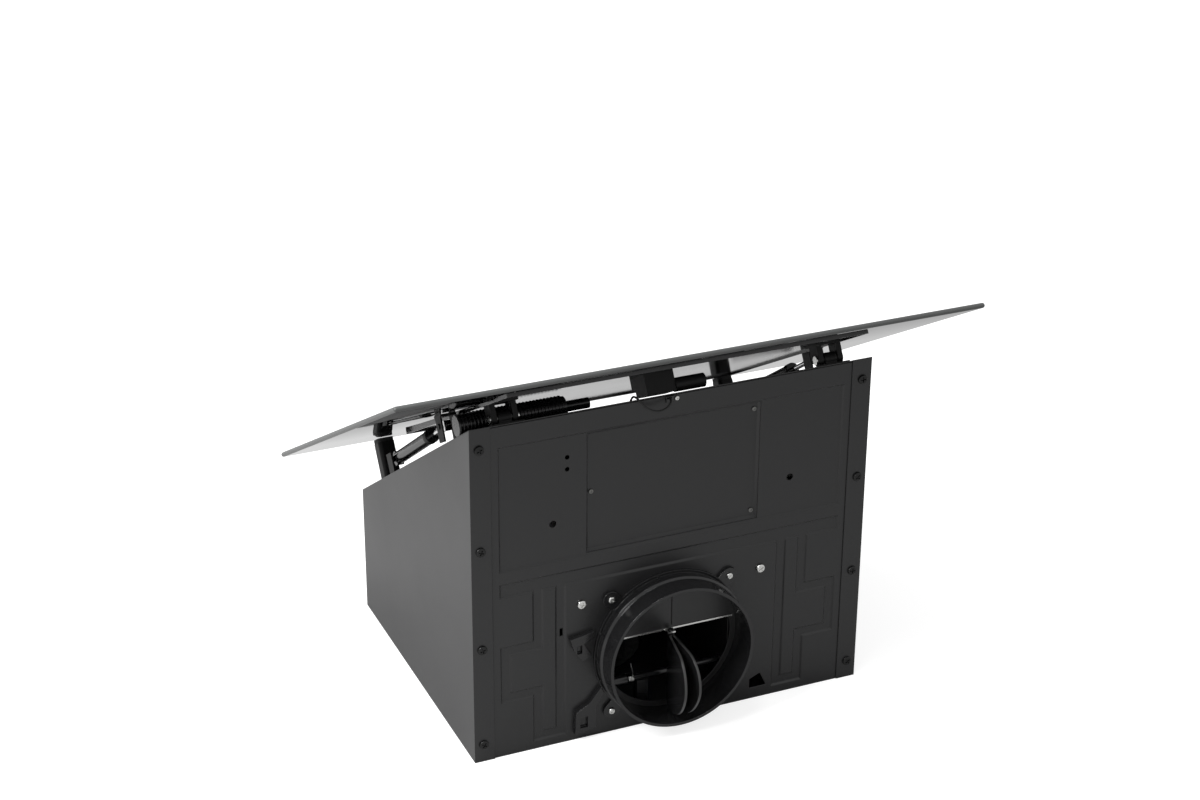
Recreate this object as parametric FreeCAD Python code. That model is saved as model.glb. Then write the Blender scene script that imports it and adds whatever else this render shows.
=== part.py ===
import FreeCAD, Part

import math
import os

from FreeCAD import Placement, Rotation, Vector

# Inclined glass wall hood, lying on its wall face (z = 0), all sizes in millimetres.
# +Z points away from the wall, -Y towards the duct outlet (the top when it hangs), X along the width.
# Origin: middle of the wall face.

# ---- driving dimensions: casing
BODY_W = 400.0          # casing width
BODY_D = 316.0          # outlet face to lower face, along the wall
OUTLET_H = 346.0        # wall to front edge at the outlet end
LOWER_H = 135.0         # wall to front edge at the lower end
SHEET = 1.0             # steel sheet
SEAM = 0.1              # play between neighbouring sheets
FLANGE = 20.0           # side panel flange folded on to the outlet face
LIP = 12.0              # hidden inner lips of the side panels
WALL_HOLE_R = 4.0       # wall fixing holes
WALL_HOLE_INSET_X = 50.0
WALL_HOLE_INSET_Y = 48.0
SCREW_LOW = 18.5        # lowest flange screw above the wall face
SCREW_HIGH = 21.5       # highest flange screw below the front edge
SCREW_INSET = 9.0
SCREW_ROWS = 4
# screws: head radius, head height, shank radius, shank length
FLANGE_SCREW = (4.6, 1.6, 1.9, 6.0)
COVER_SCREW = (2.3, 1.0, 1.5, 4.5)
EAR_SCREW = (3.2, 1.6, 1.9, 5.4)
PANEL_SCREW = (4.4, 2.2, 1.9, 5.0)
LEAD_SCREW = (2.2, 1.2, 1.3, 3.0)

# ---- outlet panel pressing
PRESS = 1.5             # depth of pressed recess and grooves
RECESS_INSET = 27.0     # recess and grooves from the casing's sides
RECESS_Z0 = 196.0
RECESS_DROP = 23.5      # recess below the front edge
GROOVE_Z0 = 169.0
GROOVE_Z1 = 184.0
GROOVE_W = 10.5
GROOVE_FOOT = 8.5       # lowest line of the upright grooves
STEP_HIGH = 118.0       # upper turn of the outer groove
STEP_LOW = 68.0         # lower turn of the outer groove
INNER_GROOVE_INSET = 92.0
OUTER_GROOVE_INSET = 69.5
WINDOW_INSET = 113.0
WINDOW_Z0 = 198.5
WINDOW_DROP = 26.0
COVER_BORDER = 8.0      # cover plate overlap behind the window
COVER_PRESS = 2.4
PILOT_INSET = 80.0      # pair of small holes at the side of the window
PILOT_DROP = 46.0
PILOT_PITCH = 12.0
EYELET_INSET = 80.0     # one plain hole on either side
EYELET_Z = 235.0

# ---- duct outlet
COLLAR_X = -3.5
COLLAR_Z = 86.0
COLLAR_R = 73.5         # outside radius of the spigot, for 150 mm duct
COLLAR_WALL = 3.0
COLLAR_OUT = 33.0       # spigot length in front of the outlet face
COLLAR_FLANGE = 3.0
COLLAR_FLANGE_R = 77.0
BEAD_R = 75.5
BEAD_AT = 11.0          # bead distance from the panel
BEAD_W = 3.0
LUG_R = 8.0
LUG_CIRCLE = 85.0       # screw lugs from the spigot's axis
PANEL_SCREW_LEFT = 89.0     # bright screws of the outlet face, from the spigot's axis
PANEL_SCREW_RIGHT = 95.0
PANEL_SCREW_UP = 60.3
PANEL_SCREW_DROP = 1.8
CLIP_T = 5.0
# snap arms, from the spigot's axis
CLIP_UPPER = [(-102.0, 27.0), (-78.0, 31.0), (-79.0, 24.0), (-88.0, 20.0), (-80.0, 5.0), (-90.0, 2.0),
              (-98.0, 14.0)]
CLIP_LOWER = [(-97.0, -78.0), (-96.0, -54.0), (-82.0, -46.0), (-70.0, -31.0), (-66.0, -36.0),
              (-75.0, -50.0), (-76.0, -74.0)]
CLIP_WELLS = [(-95.0, -90.0, 10.0, 19.0), (-92.0, -84.0, -72.0, -60.0)]
PORT_R = 65.0           # opening in the outlet panel
PORT_TOP = 99.0         # straight upper edge of that opening
SPLIT_W = 0.6           # fine upright slit above that edge
SPLIT_L = 46.0
PIN_R = 1.5             # damper pin
PIN_OUT = 5.0           # damper pin in front of the outlet panel
FLAP_R = 67.0
FLAP_T = 2.4
FLAP_SET = 1.5          # leaf's mid-plane off the pin's axis, so that both can stand open
FLAP_OPEN_LEFT = 80.0   # degrees from shut, the stored position
FLAP_OPEN_RIGHT = 90.0
FLAP_CORNER = 26.0      # rounded corner next to the pin
RUN = 0.06              # running clearance, radial
STAY_R = 3.0            # rod across the scroll's mouth
STAY_BACK = 12.0        # behind the outlet panel
STAY_DROP = 40.0        # below the spigot's axis

# ---- intake face and filters (s runs down the slope, h stands off it)
FILTER_EDGE = 24.0      # filter from the casing's side
FILTER_S0 = 67.0
FILTER_END = 33.0       # filter from the slope's lower edge
FILTER_T = 8.0
FILTER_RIM = 13.0
FILTER_PLAY = 1.0
FILTER_MID = 13.0       # half the bridge between the two filters
LEDGE = 6.0
MESH_COLS = 7
MESH_ROWS = 13
MESH_BAR = 4.0
LATCH_W = 30.0
LATCH_TRAVEL = 5.0

# ---- glass and hinges
GLASS_W = 570.0
GLASS_L = 419.0
GLASS_T = 5.0
GLASS_LEAN = 3.4        # glass is this much flatter than the slope, in degrees, at rest
AXIS_S = 13.4           # hinge axis on the slope
AXIS_H = 7.0
GLASS_LIFT = 16.0       # hinge axis to glass underside
GLASS_NOSE = 89.5       # hinge axis to near glass edge
PAN_INSET = 24.0        # tray from the casing's side
PAN_NEAR = 62.0
PAN_FAR = 255.0
PAN_RIM = 3.0
HINGE_INSET = 38.0
HINGE_PIN_R = 3.0
HINGE_BARREL_R = 6.0
HINGE_LUG = 12.0
EAR = 5.0
EAR_GAP = 1.5

# ---- rest posts, struts
POST_INSET = 13.5
POST_END = 65.5         # post from the slope's lower edge
POST_W = 17.0
POST_L = 20.0
POST_ROUND = 4.0
CAP_T = 4.0
STRUT_INSET = 12.0
STRUT_FOOT_END = 110.0  # strut foot from the slope's lower edge
STRUT_FOOT_H = 14.0
STRUT_HEAD_S = 96.0
STRUT_HEAD_H = 18.0
STRUT_TUBE_R = 6.5
STRUT_ROD_R = 2.5
STRUT_TUBE_SHARE = 0.71 # tube length over the whole strut
STRUT_EYE_R = 7.0
STUD_R = 3.0

# ---- blower
FAN_X = -60.0
FAN_Y = 5.0
FAN_R = 95.0
FAN_BLADES = 36
FAN_BLADE_L = 16.0
FAN_BLADE_T = 1.2
FAN_BACK_Z = 18.0
FAN_DISC_T = 1.5
FAN_TOP_Z = 90.0
HUB_R = 12.0
HUB_L = 28.0
VOLUTE_MIN = 107.0
VOLUTE_MAX = 125.0
VOLUTE_TONGUE = 225.0   # degrees
HOUSING_Z0 = 12.0
HOUSING_Z1 = 99.0
INLET_R = 80.0
MOTOR_R = 46.0
MOTOR_Z0 = 58.0
MOTOR_Z1 = 128.0
SHAFT_R = 4.0

# ---- capacitor on the wall panel
CAPACITOR_R = 17.0
CAPACITOR_L = 62.0
CAPACITOR_Y = 20.0
CAPACITOR_CAP_R = 13.0
CAPACITOR_CAP_L = 6.0
SADDLE_W = 16.0
SADDLE_L = 20.0

# ---- lamps in the lower panel
LAMP_R = 26.0
LAMP_RIM = 5.0
LAMP_DEPTH = 14.0
LAMP_PLATE = 2.0

# ---- control parts behind the window
BOX_DEPTH = 38.0
BOX_DROP = 60.0         # box top below the front edge
BOX_WALL = 2.0
BOARD_AT = 30.0         # board behind the cover plate
BOARD_T = 1.6
BOARD_INSET = 6.0
TRAFO_X = 17.0          # transformer, relays and cans from the window's left edge
TRAFO_W = 35.0
TRAFO_L = 30.0
TRAFO_H = 22.0
RELAY_X = 27.0
RELAY_PITCH = 20.0
RELAY_W = 14.0
RELAY_L = 18.0
CAN_X = 97.0
CAN_PITCH = 18.0
CAN_R = 6.0
CAN_H = 16.0
FOOT_R = 3.0

# ---- sleeve and sensor lead at the front edge
SLEEVE_R = 10.0
SLEEVE_S = 46.0
SLEEVE_H = 10.2
SLEEVE_X0 = 4.0         # sleeve ends from the left side
SLEEVE_X1 = 108.0
MODULE_X0 = -25.0
MODULE_X1 = 4.0
SNOUT_X1 = 34.0
WIRE_R = 1.0
# route in front of the outlet face: x, distance in front of it, height above the front edge
WIRE_ROUTE = [
    (-42.0, -8.5, -5.6),
    (-42.0, -5.5, 1.2),
    (-40.5, 1.0, 2.8),
    (-36.5, 5.5, -3.4),
    (-29.5, 7.2, -9.6),
    (-20.5, 7.6, -12.4),
    (-12.0, 7.4, -9.8),
    (-7.2, 4.6, -5.6),
    (-6.6, -0.6, -4.4),
]

OUT_Y = -BODY_D / 2
LOW_Y = BODY_D / 2
PANEL_Y = OUT_Y + SHEET                 # front of the outlet panel, behind the side flanges
HALF_W = BODY_W / 2
INNER_HALF = HALF_W - SHEET - SEAM
SLOPE = math.degrees(math.atan2(OUTLET_H - LOWER_H, BODY_D))
SLOPE_L = math.hypot(OUTLET_H - LOWER_H, BODY_D)
FLANGE_SCREW_X = HALF_W - SCREW_INSET
SCREW_PITCH = (OUTLET_H - SCREW_HIGH - SCREW_LOW) / (SCREW_ROWS - 1)
FLANGE_SCREW_Z = [SCREW_LOW + k * SCREW_PITCH for k in range(SCREW_ROWS)]
WINDOW_X0 = -HALF_W + WINDOW_INSET
WINDOW_X1 = HALF_W - WINDOW_INSET
WINDOW_Z1 = OUTLET_H - WINDOW_DROP
RECESS_HALF_W = HALF_W - RECESS_INSET
RECESS_Z1 = OUTLET_H - RECESS_DROP
HINGE_X = HALF_W - HINGE_INSET
POST_X = HALF_W - POST_INSET
POST_S = SLOPE_L - POST_END
STRUT_X = HALF_W - STRUT_INSET
STRUT_FOOT_S = SLOPE_L - STRUT_FOOT_END
FILTER_W = HALF_W - FILTER_EDGE - FILTER_MID
FILTER_L = SLOPE_L - FILTER_END - FILTER_S0
PAN_HALF_W = HALF_W - PAN_INSET
GLASS_TILT = SLOPE - GLASS_LEAN
COVER_SCREWS = [(WINDOW_X0 + 5.5, (WINDOW_Z0 + WINDOW_Z1) / 2), (WINDOW_X1 - 5.5, WINDOW_Z1 - 8.0),
                (WINDOW_X1 - 5.5, WINDOW_Z0 + 8.0)]
LUG_ANGLES = [math.radians(a) for a in (44, 135, 226, 314)]
COLLAR_SCREWS = [(COLLAR_X + LUG_CIRCLE * math.cos(a), COLLAR_Z + LUG_CIRCLE * math.sin(a))
                 for a in LUG_ANGLES]
PANEL_SCREWS = [(COLLAR_X - PANEL_SCREW_LEFT, COLLAR_Z + PANEL_SCREW_UP),
                (COLLAR_X + PANEL_SCREW_RIGHT, COLLAR_Z + PANEL_SCREW_UP - PANEL_SCREW_DROP)]
X_AXIS = Vector(1, 0, 0)
Y_AXIS = Vector(0, 1, 0)
Z_AXIS = Vector(0, 0, 1)
LAMP_X = 0.55 * HALF_W
LAMP_Z = LOWER_H / 2


def box(x0, x1, y0, y1, z0, z1):
    return Part.makeBox(x1 - x0, y1 - y0, z1 - z0, Vector(x0, y0, z0))


def rod(radius, start, end):
    a = Vector(*start)
    b = Vector(*end)
    return Part.makeCylinder(radius, (b - a).Length, a, b - a)


def tube(outer, inner, start, end):
    return rod(outer, start, end).cut(rod(inner, start, end))


def fuse(shapes):
    return shapes[0].multiFuse(shapes[1:]).removeSplitter()


def placed(shape, placement):
    moved = shape.copy()
    moved.Placement = placement.multiply(moved.Placement)
    return moved


def mirrored(shape):
    return shape.mirror(Vector(0, 0, 0), X_AXIS)


SLOPE_FRAME = Placement(Vector(0, OUT_Y, OUTLET_H), Rotation(X_AXIS, -SLOPE))
AXIS_POINT = SLOPE_FRAME.multVec(Vector(0, AXIS_S, AXIS_H))
GLASS_FRAME = Placement(AXIS_POINT, Rotation(X_AXIS, -GLASS_TILT))


def on_slope(shape):
    return placed(shape, SLOPE_FRAME)


def on_glass(shape):
    return placed(shape, GLASS_FRAME)


def to_glass(s, h):
    """A slope point in the glass's own frame, at rest."""
    return GLASS_FRAME.inverse().multVec(SLOPE_FRAME.multVec(Vector(0, s, h)))


def profile(inset=0.0):
    """Casing cross-section as a solid across the whole width."""
    drop = inset / math.cos(math.radians(SLOPE))
    rise = (OUTLET_H - LOWER_H) / BODY_D
    y0 = OUT_Y + inset
    y1 = LOW_Y - inset
    points = [Vector(-HALF_W, y0, inset), Vector(-HALF_W, y1, inset),
              Vector(-HALF_W, y1, OUTLET_H - rise * (y1 - OUT_Y) - drop),
              Vector(-HALF_W, y0, OUTLET_H - rise * (y0 - OUT_Y) - drop)]
    wire = Part.makePolygon(points + points[:1])
    return Part.Face(wire).extrude(Vector(BODY_W, 0, 0))


def rectangle(x0, x1, z0, z1, y):
    points = [Vector(x0, y, z0), Vector(x1, y, z0), Vector(x1, y, z1), Vector(x0, y, z1)]
    return Part.makePolygon(points + points[:1])


def stamp(x0, x1, z0, z1, front, depth):
    """Pressed pocket with 45 degree sides, open to the front."""
    over = 0.2
    mouth = rectangle(x0 - over, x1 + over, z0 - over, z1 + over, front - over)
    floor = rectangle(x0 + depth, x1 - depth, z0 + depth, z1 - depth, front + depth)
    return Part.makeLoft([mouth, floor], True, True)


def pressed(block, pockets, thickness):
    """Sheet of even thickness that follows the pockets of a block."""
    body = block.cut(fuse(pockets))
    inside = body.copy()
    inside.translate(Vector(0, thickness, 0))
    return body.cut(inside)


def groove_pockets():
    pockets = [stamp(-RECESS_HALF_W, RECESS_HALF_W, GROOVE_Z0, GROOVE_Z1, PANEL_Y, PRESS)]
    x_in = HALF_W - INNER_GROOVE_INSET
    x_out = HALF_W - OUTER_GROOVE_INSET
    edge = RECESS_HALF_W
    runs = [(x_in, x_in + GROOVE_W, GROOVE_FOOT, GROOVE_Z1),
            (x_out, x_out + GROOVE_W, STEP_HIGH - GROOVE_W, GROOVE_Z1),
            (x_out, edge, STEP_HIGH - GROOVE_W, STEP_HIGH),
            (edge - GROOVE_W, edge, STEP_LOW - GROOVE_W, STEP_HIGH),
            (x_out, edge, STEP_LOW - GROOVE_W, STEP_LOW),
            (x_out, x_out + GROOVE_W, GROOVE_FOOT, STEP_LOW),
            (x_in, x_out + GROOVE_W, GROOVE_FOOT, GROOVE_FOOT + GROOVE_W)]
    for x0, x1, z0, z1 in runs:
        pockets.append(stamp(x0, x1, z0, z1, PANEL_Y, PRESS))
        pockets.append(stamp(-x1, -x0, z0, z1, PANEL_Y, PRESS))
    return pockets


def front_holes(points, radius):
    return [rod(radius, (x, OUT_Y - 5, z), (x, OUT_Y + 12, z)) for x, z in points]


def port_solid(y0, y1, play=0.0):
    disc = rod(PORT_R + play, (COLLAR_X, y0, COLLAR_Z), (COLLAR_X, y1, COLLAR_Z))
    below = box(COLLAR_X - PORT_R * 2, COLLAR_X + PORT_R * 2, y0, y1, 0, PORT_TOP)
    return disc.common(below)


def outlet_panel():
    top = OUTLET_H - 2.6
    block = box(-INNER_HALF, INNER_HALF, PANEL_Y, PANEL_Y + 6, SHEET, top)
    recess = stamp(-RECESS_HALF_W, RECESS_HALF_W, RECESS_Z0, RECESS_Z1, PANEL_Y, PRESS)
    sheet = pressed(block, [recess] + groove_pockets(), SHEET)
    vent = Part.makePolygon([Vector(COLLAR_X + x, OUT_Y - 1, z) for x, z in
                             ((88, 12), (106, 12), (99, 27), (88, 22), (88, 12))])
    slit_x = COLLAR_X + 3.0
    cuts = [box(WINDOW_X0, WINDOW_X1, OUT_Y, OUT_Y + 12, WINDOW_Z0, WINDOW_Z1),
            port_solid(OUT_Y, OUT_Y + 12),
            Part.Face(vent).extrude(Vector(0, 12, 0)),
            box(slit_x, slit_x + SPLIT_W, OUT_Y, OUT_Y + 12, PORT_TOP + 4, PORT_TOP + SPLIT_L),
            box(COLLAR_X - 110, COLLAR_X - 107, OUT_Y, OUT_Y + 12, 116, 124)]
    cuts += front_holes([(x, z) for x in (-FLANGE_SCREW_X, FLANGE_SCREW_X) for z in FLANGE_SCREW_Z], 2.0)
    pilot_z = OUTLET_H - PILOT_DROP
    pilots = [(-HALF_W + PILOT_INSET + 14, z) for z in (pilot_z, pilot_z - PILOT_PITCH)]
    cuts += front_holes(pilots, 2.2)
    cuts += front_holes([(x, EYELET_Z) for x in (-HALF_W + EYELET_INSET, HALF_W - EYELET_INSET)], 3.4)
    cuts += front_holes(COLLAR_SCREWS + PANEL_SCREWS, 2.0)
    cuts += front_holes([lead_screw_place()], 1.4)
    return sheet.cut(Part.makeCompound(cuts))


def side_panel():
    """Left side: web, outlet flange and hidden lips."""
    x0 = -HALF_W
    web = box(x0, x0 + SHEET, OUT_Y, LOW_Y, 0, OUTLET_H)
    flange = box(x0, x0 + FLANGE, OUT_Y, OUT_Y + SHEET, 0, OUTLET_H)
    shell = fuse([web, flange]).common(profile())
    lip_x = x0 + SHEET + LIP
    floor_lip = box(x0 + SHEET / 2, lip_x, PANEL_Y + 2, LOW_Y - 3, SHEET, 2 * SHEET)
    low_lip = box(x0 + SHEET / 2, lip_x, LOW_Y - 2 * SHEET, LOW_Y - SHEET, SHEET, LOWER_H - 6)
    slope_lip = on_slope(box(x0 + SHEET / 2, lip_x, 8, SLOPE_L - 6, -2 * SHEET, -SHEET))
    holes = front_holes([(-FLANGE_SCREW_X, z) for z in FLANGE_SCREW_Z], 2.0)
    return fuse([shell, floor_lip, low_lip, slope_lip]).cut(Part.makeCompound(holes))


def wall_holes():
    return [(x, y) for x in (-HALF_W + WALL_HOLE_INSET_X, HALF_W - WALL_HOLE_INSET_X)
            for y in (OUT_Y + WALL_HOLE_INSET_Y, LOW_Y - WALL_HOLE_INSET_Y)]


def wall_panel():
    sheet = box(-INNER_HALF, INNER_HALF, PANEL_Y, LOW_Y - SHEET, 0, SHEET)
    holes = [rod(WALL_HOLE_R, (x, y, -1), (x, y, 3)) for x, y in wall_holes()]
    ribs = []
    for x in (0.45 * HALF_W, 0.875 * HALF_W):
        ribs.append(box(x - 4, x + 4, OUT_Y + 38, LOW_Y - 38, SHEET, SHEET + 1.5))
    return fuse([sheet] + ribs).cut(Part.makeCompound(holes))


def lower_panel():
    sheet = box(-INNER_HALF, INNER_HALF, LOW_Y - SHEET, LOW_Y, 0, LOWER_H - 1.3)
    holes = [rod(LAMP_R, (x, LOW_Y - 5, LAMP_Z), (x, LOW_Y + 5, LAMP_Z)) for x in (-LAMP_X, LAMP_X)]
    slots = [box(x - 2, x + 2, LOW_Y - 5, LOW_Y + 5, 30, 60) for x in (-24, -12, 0, 12, 24)]
    return sheet.cut(Part.makeCompound(holes + slots))


def filter_span(side):
    inner = FILTER_MID
    outer = FILTER_MID + FILTER_W + 2 * FILTER_PLAY
    return (inner, outer) if side > 0 else (-outer, -inner)


def intake_frame():
    """Sloping front sheet with a seat for each filter."""
    s0 = FILTER_S0 - FILTER_PLAY
    s1 = FILTER_S0 + FILTER_L + FILTER_PLAY
    deep = FILTER_T + 2 * SHEET
    solid = [box(-INNER_HALF, INNER_HALF, -2, SLOPE_L + 2, -SHEET, 0)]
    cuts = []
    for side in (-1, 1):
        x0, x1 = filter_span(side)
        solid.append(box(x0 - SHEET, x1 + SHEET, s0 - SHEET, s1 + SHEET, -deep, 0))
        cuts.append(box(x0, x1, s0, s1, -deep + SHEET, 1))
        cuts.append(box(x0 + LEDGE, x1 - LEDGE, s0 + LEDGE, s1 - LEDGE, -deep - 1, 1))
        mid = (x0 + x1) / 2
        half = LATCH_W / 2 - 4
        cuts.append(box(mid - half, mid + half, s0 - SHEET - 1, s0 + 1, -6.5, -3.0))
    lead_x, lead_y, lead_z = wire_points()[0]
    cuts.append(rod(2.2, (lead_x, 10.0, -3), (lead_x, 10.0, 3)))
    frame = on_slope(fuse(solid).cut(Part.makeCompound(cuts)))
    trim = profile(0.0).common(box(-INNER_HALF, INNER_HALF, PANEL_Y, LOW_Y, 0, OUTLET_H))
    return frame.common(trim)


def cover_plate():
    y = PANEL_Y + PRESS + SHEET
    block = box(WINDOW_X0 - COVER_BORDER, WINDOW_X1 + COVER_BORDER, y, y + 4,
                WINDOW_Z0 - COVER_BORDER + 4, WINDOW_Z1 + COVER_BORDER - 4)
    pocket = stamp(WINDOW_X0, WINDOW_X1, WINDOW_Z0, WINDOW_Z1, y, COVER_PRESS)
    plate = pressed(block, [pocket], SHEET)
    return plate.cut(Part.makeCompound(front_holes(COVER_SCREWS, 1.6)))


def screw(x, z, seat, kind):
    """Pan head screw with a cross recess, driven along +Y."""
    head_r, head_t, shank_r, shank = kind
    head = rod(head_r, (x, seat - head_t, z), (x, seat, z))
    dome = rod(head_r * 0.72, (x, seat - head_t - 0.5, z), (x, seat - head_t, z))
    body = fuse([head, dome, rod(shank_r, (x, seat, z), (x, seat + shank, z))])
    slot = 0.45
    reach = head_r * 0.55
    y0 = seat - head_t - 1
    y1 = seat - head_t + 0.9
    cross = [box(x - reach, x + reach, y0, y1, z - slot, z + slot),
             box(x - slot, x + slot, y0, y1, z - reach, z + reach)]
    return body.cut(Part.makeCompound(cross))


def casing_screws():
    return Part.makeCompound([screw(x, z, OUT_Y, FLANGE_SCREW)
                              for x in (-FLANGE_SCREW_X, FLANGE_SCREW_X) for z in FLANGE_SCREW_Z])


def cover_screws():
    seat = PANEL_Y + PRESS + SHEET + COVER_PRESS
    return Part.makeCompound([screw(x, z, seat, COVER_SCREW) for x, z in COVER_SCREWS])


def collar_screws():
    ears = [screw(x, z, PANEL_Y - COLLAR_FLANGE, EAR_SCREW) for x, z in COLLAR_SCREWS]
    plain = [screw(x, z, PANEL_Y, PANEL_SCREW) for x, z in PANEL_SCREWS]
    x, z = lead_screw_place()
    return Part.makeCompound(ears + plain + [screw(x, z, PANEL_Y, LEAD_SCREW)])


def collar_ring(outer, inner, near, far):
    y0 = PANEL_Y - near
    y1 = PANEL_Y - far
    return tube(outer, inner, (COLLAR_X, y0, COLLAR_Z), (COLLAR_X, y1, COLLAR_Z))


def around_spigot(shape, x, z):
    """Turn a shape drawn along X so that it points from the spigot's axis at x, z."""
    turn = math.degrees(math.atan2(z - COLLAR_Z, x - COLLAR_X))
    shape.rotate(Vector(0, 0, 0), Vector(0, -1, 0), turn)
    shape.translate(Vector(COLLAR_X, PANEL_Y, COLLAR_Z))
    return shape


def outlet_collar():
    bore = COLLAR_R - COLLAR_WALL
    length = COLLAR_OUT + SHEET
    cone = BEAD_R - COLLAR_R
    crest = BEAD_AT + BEAD_W - cone / 2
    foot = Vector(COLLAR_X, PANEL_Y - crest, COLLAR_Z)
    slant = Part.makeCone(BEAD_R, COLLAR_R, cone, foot, Vector(0, -1, 0))
    parts = [collar_ring(COLLAR_FLANGE_R, bore, 0, COLLAR_FLANGE),
             collar_ring(COLLAR_R + 0.5, bore, COLLAR_FLANGE, BEAD_AT),
             collar_ring(BEAD_R, bore, BEAD_AT, crest),
             slant,
             collar_ring(COLLAR_R, bore, crest + cone, length)]
    for x, z in COLLAR_SCREWS:
        boss = rod(LUG_R, (x, PANEL_Y - COLLAR_FLANGE, z), (x, PANEL_Y, z))
        web = box(bore + 1, LUG_CIRCLE, -COLLAR_FLANGE, 0, -LUG_R, LUG_R)
        parts += [boss, around_spigot(web, x, z)]
    for turn in range(100, 260, 20):
        rib = box(bore + 1, BEAD_R, -BEAD_AT - 1, -1, -0.8, 0.8)
        rib.rotate(Vector(0, 0, 0), Vector(0, -1, 0), turn)
        rib.translate(Vector(COLLAR_X, PANEL_Y, COLLAR_Z))
        parts.append(rib)
    collar = fuse(parts)
    bore_cut = rod(bore, (COLLAR_X, PANEL_Y - 60, COLLAR_Z), (COLLAR_X, PANEL_Y, COLLAR_Z))
    foot = rod(PIN_R + 0.02, (COLLAR_X, PANEL_Y - PIN_OUT, 12), (COLLAR_X, PANEL_Y - PIN_OUT, 20))
    holes = front_holes(COLLAR_SCREWS, 1.95)
    return collar.cut(Part.makeCompound(holes)).cut(bore_cut).cut(foot)


def clip_arm(outline, depth):
    """Flat moulded arm; the outline is given from the spigot's axis."""
    points = [Vector(COLLAR_X + x, PANEL_Y, COLLAR_Z + z) for x, z in outline]
    return Part.Face(Part.makePolygon(points + points[:1])).extrude(Vector(0, -depth, 0))


def collar_clips():
    """Two snap arms that hold the adaptor's left side."""
    upper = clip_arm(CLIP_UPPER, CLIP_T)
    lower = clip_arm(CLIP_LOWER, CLIP_T)
    around = COLLAR_FLANGE_R + 0.3
    cuts = [rod(around, (COLLAR_X, PANEL_Y - 60, COLLAR_Z), (COLLAR_X, PANEL_Y + 1, COLLAR_Z))]
    for x0, x1, z0, z1 in CLIP_WELLS:
        cuts.append(box(COLLAR_X + x0, COLLAR_X + x1, PANEL_Y - CLIP_T - 1, PANEL_Y - 2,
                        COLLAR_Z + z0, COLLAR_Z + z1))
    for x, z in COLLAR_SCREWS:
        cuts.append(rod(LUG_R + 0.31, (x, PANEL_Y - 20, z), (x, PANEL_Y + 1, z)))
        web = box(COLLAR_FLANGE_R - 4, LUG_CIRCLE, -COLLAR_FLANGE - 0.4, 1, -LUG_R - 0.3, LUG_R + 0.3)
        cuts.append(around_spigot(web, x, z))
    cut = Part.makeCompound(cuts)
    return Part.makeCompound([arm.cut(cut) for arm in (upper, lower)])


def damper_yoke():
    """Plated strip along the straight port edge, with the pin's upper eye."""
    half = math.sqrt(PORT_R ** 2 - (PORT_TOP - COLLAR_Z) ** 2) + 3
    strip = box(COLLAR_X - half, COLLAR_X + half, PANEL_Y - 0.8, PANEL_Y, PORT_TOP, PORT_TOP + 1.6)
    tab = box(COLLAR_X - 4, COLLAR_X + 4, PANEL_Y - PIN_OUT - 3, PANEL_Y, PORT_TOP, PORT_TOP + 1.5)
    y = PANEL_Y - PIN_OUT
    eye = rod(PIN_R + 0.02, (COLLAR_X, y, PORT_TOP - 1), (COLLAR_X, y, PORT_TOP + 4))
    return fuse([strip, tab]).cut(eye)


def damper_pin():
    y = PANEL_Y - PIN_OUT
    foot = COLLAR_Z - (COLLAR_R - COLLAR_WALL) - 1.5
    shank = rod(PIN_R, (COLLAR_X, y, foot), (COLLAR_X, y, PORT_TOP + 2.0))
    head = rod(PIN_R + 1.0, (COLLAR_X, y, PORT_TOP + 1.6), (COLLAR_X, y, PORT_TOP + 2.8))
    return fuse([shank, head])


def damper_flap(side, opening):
    """Half flap drawn shut, then swung to its stored angle."""
    y = PANEL_Y - PIN_OUT
    knuckle_r = PIN_R + 1.3
    low = COLLAR_Z - FLAP_R + 5
    high = PORT_TOP - 2.0
    near = y + FLAP_SET - FLAP_T / 2
    far = near + FLAP_T
    disc = rod(FLAP_R, (COLLAR_X, near, COLLAR_Z), (COLLAR_X, far, COLLAR_Z))
    x0, x1 = sorted((COLLAR_X + side * 2.0, COLLAR_X + side * FLAP_R))
    blade = disc.common(box(x0, x1, y - 5, y + 5, 0, high))
    outer = [e for e in blade.Edges if abs(e.Length - FLAP_T) < 0.01
             and abs(e.BoundBox.Center.x - COLLAR_X) > FLAP_R / 2]
    blade = blade.makeFillet(FLAP_CORNER, outer)
    mid = (low + high) / 2
    quarter = (high - low) / 4
    spans = [(low, low + quarter - 1), (mid, mid + quarter - 1)]
    if side > 0:
        spans = [(low + quarter, mid - 1), (mid + quarter, high)]
    whole = rod(knuckle_r + 0.4, (COLLAR_X, y, 0), (COLLAR_X, y, PORT_TOP + 20))
    knuckles = []
    for z0, z1 in spans:
        knuckles.append(rod(knuckle_r, (COLLAR_X, y, z0), (COLLAR_X, y, z1)))
        a, b = sorted((COLLAR_X, COLLAR_X + side * (knuckle_r + 3)))
        knuckles.append(box(a, b, near, far, z0, z1))
    hole = rod(PIN_R + RUN, (COLLAR_X, y, 0), (COLLAR_X, y, PORT_TOP + 20))
    flap = fuse([blade.cut(whole)] + knuckles).cut(hole)
    flap.rotate(Vector(COLLAR_X, y, 0), Z_AXIS, -side * opening)
    return flap


def stay_place():
    """Left end of the stay, its depth and its height."""
    return COLLAR_X - PORT_R + SHEET + 0.1, PANEL_Y + STAY_BACK, COLLAR_Z - STAY_DROP


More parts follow.
